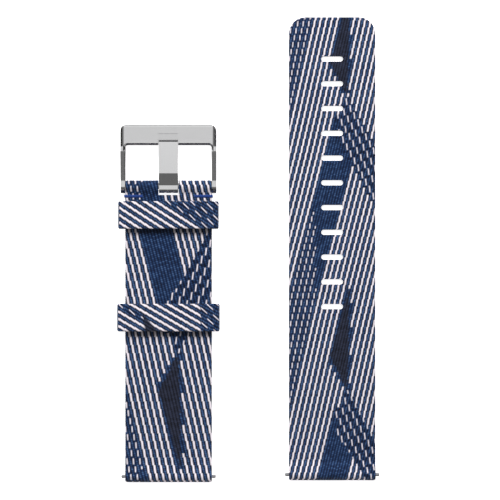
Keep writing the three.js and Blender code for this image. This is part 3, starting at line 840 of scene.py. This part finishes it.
def keeper_weave(width, stripes, dashed, wedge=None):
    """Slanting white stripes over a keeper: v runs along the strap and c across it, in mm."""
    pitch, slope, phase = stripes
    steepness = math.hypot(1.0, slope)

    def read(v, c, on_top):
        number = (c + slope * v) / pitch + phase
        stepped = number + KEEPER_STEPPING * cyclic(c / KEEPER_STEP) * KEEPER_STEP / pitch
        across = cyclic(stepped) * pitch / steepness
        line_number = np.round(number)
        short = dashed(line_number, c) & on_top
        along = cyclic((c - KEEPER_DASH_SHIFT * line_number) / KEEPER_DASH_PITCH) * KEEPER_DASH_PITCH
        dash_across = cyclic(number + KEEPER_DASH_LEAN * along / pitch) * pitch / steepness
        dash_ends = step(KEEPER_DASH_REACH - np.abs(along), 0.1)
        dash = step(KEEPER_DASH_HALF - np.abs(dash_across)) * dash_ends
        black = np.zeros(v.shape)
        if wedge:
            black = np.where(on_top, step(-polygon_distance(c, v, wedge), 0.2), 0.0)
        on_face = np.abs(c) < width / 2 - KEEPER_STRIPE_END
        solid = step(KEEPER_STRIPE_HALF - np.abs(across)) * on_face
        white = np.where(short, dash, solid) * (1.0 - black)

        thread = 2.0 * number
        rib = np.cos(4.0 * math.pi * stepped)
        knot = -np.cos(2.0 * math.pi * (c / KEEPER_PICK + 0.5 * np.round(thread)))
        uneven = scatter(np.floor(thread), np.floor(c / KEEPER_PICK))
        light = thread_light(rib, knot, KEEPER_RIB_LIGHT, uneven)
        crown = float_crown(across, KEEPER_STRIPE_HALF)
        return white, black, light, cloth_rise(rib, knot, white, crown)
    return read


def keeper_outline(width, base, size):
    """Points round a keeper's outside, seen along the strap, from the middle of the underside."""
    half, radius = width / 2, KEEPER_CORNER
    centres = [(half - radius, base + radius, -90), (half - radius, KEEPER_HEIGHT - radius, 0),
               (-half + radius, KEEPER_HEIGHT - radius, 90), (-half + radius, base + radius, 180)]
    points = [(0.0, base)]
    for x, z, angle in centres:
        corner = turn((x, z), radius, angle, angle + 90, size)
        points += line(points[-1], corner[0], size)[1:] + corner
    return points + line(points[-1], (0.0, base), size)[1:]


def ring_faces(rings, count):
    """Faces between rings of points, each ring closed and the last joined to the first."""
    index = np.arange(rings * count).reshape(rings, count)
    following, beside = np.roll(index, -1, axis=0), np.roll(index, -1, axis=1)
    corners = [index, beside, np.roll(following, -1, axis=1), following]
    return np.stack(corners, axis=-1).reshape(-1, 4)


def keeper(name, node, body, width, base, pattern):
    """A loop of webbing round the strap, with soft edges and its rings joined outside to inside."""
    low, high = (np.array(corner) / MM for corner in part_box(node))
    side = np.array(keeper_outline(width, base, CELL))
    count = len(side)
    heading = np.roll(side, -1, axis=0) - np.roll(side, 1, axis=0)
    heading /= np.hypot(heading[:, 0], heading[:, 1])[:, None]
    normals = np.stack([heading[:, 1], -heading[:, 0]], axis=1)

    rows = round(KEEPER_LENGTH / CELL) + 1
    v = np.repeat(np.linspace(-KEEPER_LENGTH / 2, KEEPER_LENGTH / 2, rows), count)
    c, up = np.tile(side, (rows, 1)).T
    nc, nu = np.tile(normals, (rows, 1)).T
    round_about = np.tile(np.arange(count) * CELL, rows)
    on_top = nu > 0.3
    white, black, light, rise = pattern(v, np.where(on_top, c, round_about), on_top)
    height = rise - WEAVE_DEPTH - edge_drop(KEEPER_LENGTH / 2 - np.abs(v))

    place = placer((low[0] + high[0]) / 2, (low[1] + high[1]) / 2, low[2] - base)
    wall = KEEPER_WALL * KEEPER_WALL_SHARE
    outer = place(c + nc * height, v, up + nu * height).reshape(rows, count, 3)
    inner = place(c - nc * wall, v, up - nu * wall).reshape(rows, count, 3)[::-1]
    blank = np.zeros(len(v))
    colours = np.concatenate([thread_colour(white, black, light),
                              thread_colour(blank, blank, blank + INSIDE_LIGHT)])
    uv = np.stack([v, round_about], axis=1)
    inside_uv = uv.reshape(rows, count, 2)[::-1].reshape(-1, 2)
    points = np.concatenate([outer, inner]).reshape(-1, 3)
    obj = make_mesh(name, points, ring_faces(2 * rows, count), colours, np.concatenate([uv, inside_uv]), FACE)
    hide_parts(node)
    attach(obj, body)


def build_keepers():
    """The free keeper, with a wedge and dashes at both ends, and the fixed one, with dashes at one."""
    short_stripe, short_end = FREE_KEEPER_SHORT_STRIPE

    def free_dashes(number, c):
        return (c > FREE_KEEPER_DASH_END) | ((number == short_stripe) & (c < short_end))

    def fixed_dashes(number, c):
        return number > FIXED_KEEPER_LAST_STRIPE

    free = keeper_weave(FREE_KEEPER_WIDTH, FREE_KEEPER_STRIPES, free_dashes, FREE_KEEPER_WEDGE)
    fixed = keeper_weave(FIXED_KEEPER_WIDTH, FIXED_KEEPER_STRIPES, fixed_dashes)
    keeper("free_keeper_loop", "free_keeper", "free_keeper", FREE_KEEPER_WIDTH, 0.0, free)
    keeper("fixed_keeper_loop", "fixed_keeper", "buckle_strap", FIXED_KEEPER_WIDTH, FIXED_KEEPER_BASE, fixed)


# ---------------------------------------------------------------- bar-tacks


def stitch_rings(x, lean, low, high):
    """Points of one stitch, ring by ring: arched over the cloth, and thin where it goes in."""
    points = []
    for j in range(STITCH_RINGS):
        t = j / (STITCH_RINGS - 1)
        arch = math.sin(math.pi * t)
        thick = STITCH_RADIUS * (0.35 + 0.65 * min(1.0, 3.0 * arch))
        y = low[1] + t * (high[1] - low[1])
        z = high[2] - STITCH_RADIUS - STITCH_DIP * (1.0 - arch)
        for k in range(STITCH_SIDES):
            angle = 2.0 * math.pi * k / STITCH_SIDES
            points.append((x + lean * (t - 0.5) + thick * math.cos(angle), y, z + thick * math.sin(angle)))
    return points


def stitch_faces(base):
    """Faces of one closed stitch whose first point is number base."""
    faces = []
    for j in range(STITCH_RINGS - 1):
        for k in range(STITCH_SIDES):
            a, b = base + j * STITCH_SIDES + k, base + j * STITCH_SIDES + (k + 1) % STITCH_SIDES
            faces.append((a, b, b + STITCH_SIDES, a + STITCH_SIDES))
    last = base + (STITCH_RINGS - 1) * STITCH_SIDES
    for k in range(1, STITCH_SIDES - 2, 2):
        faces.append((base + k + 2, base + k + 1, base + k, base))
        faces.append((last, last + k, last + k + 1, last + k + 2))
    return faces


def bar_tack(node):
    """Close satin stitches laid side by side along the bar-tack."""
    low, high = (np.array(corner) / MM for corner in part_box(node))
    count = round((high[0] - low[0]) / STITCH_PITCH)
    points, faces = [], []
    for i in range(count):
        x = low[0] + (i + 0.5) * (high[0] - low[0]) / count
        faces += stitch_faces(len(points))
        points += stitch_rings(x, STITCH_LEAN if i % 2 else -STITCH_LEAN, low, high)
    plain = np.zeros((len(points), 4))
    obj = make_mesh(f"{node}_stitches", np.array(points), np.array(faces), plain, plain[:, :2], TACK)
    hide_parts(node)
    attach(obj, "buckle_strap")


# ---------------------------------------------------------------- steel


FACET_ANGLE = math.radians(11.5)
COPLANAR_ANGLE = math.radians(0.5)


def finish_steel(node, material):
    """Gives a rigid CAD part its steel, with smooth curves, flat flats and crisp facet edges."""
    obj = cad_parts[node]
    obj.data.materials.clear()
    obj.data.materials.append(material)
    for polygon in obj.data.polygons:
        polygon.use_smooth = True
        polygon.material_index = 0
    weld = obj.modifiers.new("welded", "WELD")
    weld.merge_threshold = 1e-6
    join = obj.modifiers.new("joined_flats", "DECIMATE")
    join.decimate_type = "DISSOLVE"
    join.angle_limit = COPLANAR_ANGLE
    crease = obj.modifiers.new("crisp_facets", "EDGE_SPLIT")
    crease.split_angle = FACET_ANGLE
    level = obj.modifiers.new("flat_flats", "WEIGHTED_NORMAL")
    level.weight = 100


def build_steel():
    finish_steel("buckle_frame", STEEL)
    finish_steel("buckle_tongue", STEEL)
    small = ["buckle_bar_tube", "buckle_bar_tip_left", "buckle_bar_tip_right", "buckle_bar_coil"]
    for prefix in ("buckle_strap_bar", "hole_strap_bar"):
        small += [f"{prefix}_{part}" for part in ("tube", "fixed_tip", "sliding_tip", "lever", "coil")]
    for node in small:
        finish_steel(node, PIN_STEEL)


# ---------------------------------------------------------------- room, light and camera

CAMERA_PLACE = (0.00043, -0.00008, 0.7105)
CAMERA_LENS = 200
FLOOR_GLOW = 0.9
PANEL_DISTANCE = 0.4
PANEL_HEIGHT = 0.22

# How bright the studio is by direction, as (direction from -1 to 1, level) stops.
SKY_ALONG = ((-1.0, 0.01), (-0.82, 0.02), (-0.66, 0.15), (-0.36, 0.15), (-0.15, 0.78), (0.2, 0.78),
             (0.5, 1.0), (1.0, 1.0))
SKY_UP = ((-1.0, 0.02), (-0.5, 0.6), (-0.15, 0.6), (0.0, 0.03), (0.2, 0.5), (0.45, 1.0), (1.0, 1.0))
SKY_ACROSS = ((-1.0, 0.1), (-0.7, 0.24), (-0.3, 0.52), (-0.14, 1.0), (0.14, 1.0), (0.3, 0.55),
              (0.7, 0.12), (1.0, 0.2))


def build_floor():
    bpy.ops.mesh.primitive_plane_add(size=3.0, location=(0, 0, 0))
    floor = bpy.context.object
    floor.name = "floor"
    shader = Shader("pale_floor")
    where = shader.add("ShaderNodeTexCoord").outputs["Object"]
    mottle = shader.noise(where, 30.0, 2.0)
    white = shader.mix(mottle, colour("fbfbfb"), colour("ffffff"))
    shader.set(Base_Color=white, Roughness=0.9, Specular_IOR_Level=0.1, Emission_Color=white,
               Emission_Strength=FLOOR_GLOW)
    floor.data.materials.append(shader.material)
    floor.visible_glossy = False


def add_light(name, place, size, watts, only_in_reflections=False):
    """A soft rectangle of light aimed at the band."""
    lamp = bpy.data.lights.new(name, "AREA")
    lamp.shape = "RECTANGLE"
    lamp.size, lamp.size_y = size
    lamp.energy = watts
    obj = bpy.data.objects.new(name, lamp)
    obj.location = place
    obj.rotation_euler = (-Vector(place)).to_track_quat("-Z", "Y").to_euler()
    obj.visible_glossy = only_in_reflections
    obj.visible_diffuse = not only_in_reflections
    bpy.context.collection.objects.link(obj)


def draw_curve(node, stops):
    """Sets a float curve to straight runs between (direction, level) stops, direction from -1 to 1."""
    curve = node.mapping.curves[0]
    while len(curve.points) < len(stops):
        curve.points.new(0.5, 0.5)
    for point, (direction, level) in zip(curve.points, stops):
        point.location = ((direction + 1.0) / 2.0, level)
        point.handle_type = "VECTOR"
    node.mapping.update()


def build_light():
    """A bright studio with a dark side towards the lug ends, which the sloping steel reflects."""
    world = bpy.data.worlds.new("studio")
    world.use_nodes = True
    nodes, links = world.node_tree.nodes, world.node_tree.links
    towards = nodes.new("ShaderNodeTexCoord")
    split = nodes.new("ShaderNodeSeparateXYZ")
    links.new(towards.outputs["Generated"], split.inputs["Vector"])
    level = None
    for axis, ramp in (("X", SKY_ACROSS), ("Y", SKY_ALONG), ("Z", SKY_UP)):
        place = nodes.new("ShaderNodeMapRange")
        place.inputs["From Min"].default_value = -1.0
        links.new(split.outputs[axis], place.inputs["Value"])
        shade = nodes.new("ShaderNodeFloatCurve")
        links.new(place.outputs["Result"], shade.inputs["Value"])
        draw_curve(shade, ramp)
        if level is None:
            level = shade.outputs["Value"]
            continue
        product = nodes.new("ShaderNodeMath")
        product.operation = "MULTIPLY"
        links.new(shade.outputs["Value"], product.inputs[0])
        links.new(level, product.inputs[1])
        level = product.outputs[0]
    links.new(level, nodes["Background"].inputs["Strength"])
    nodes["Background"].inputs["Color"].default_value = (1.0, 1.0, 1.0, 1.0)
    bpy.context.scene.world = world
    add_light("soft_far", (0.15, 0.48, 0.7), (0.5, 0.3), 4.0)
    add_light("soft_left", (-0.25, 0.5, 0.62), (0.4, 0.3), 2.6)
    for x in (-PANEL_DISTANCE, PANEL_DISTANCE):
        for y in (-PANEL_DISTANCE, PANEL_DISTANCE):
            add_light("corner_panel", (x, y, PANEL_HEIGHT), (0.5, 0.3), 0.6, only_in_reflections=True)


def build_camera():
    scene = bpy.context.scene
    lens = bpy.data.cameras.new("camera")
    lens.lens = CAMERA_LENS
    lens.sensor_width = 36
    camera = bpy.data.objects.new("camera", lens)
    camera.location = CAMERA_PLACE
    bpy.context.collection.objects.link(camera)
    scene.camera = camera
    scene.view_settings.view_transform = "Standard"


build_floor()
build_hole_strap()
build_buckle_strap()
build_keepers()
for tack in ("bar_tack_left", "bar_tack_right"):
    bar_tack(tack)
build_steel()
build_light()
build_camera()
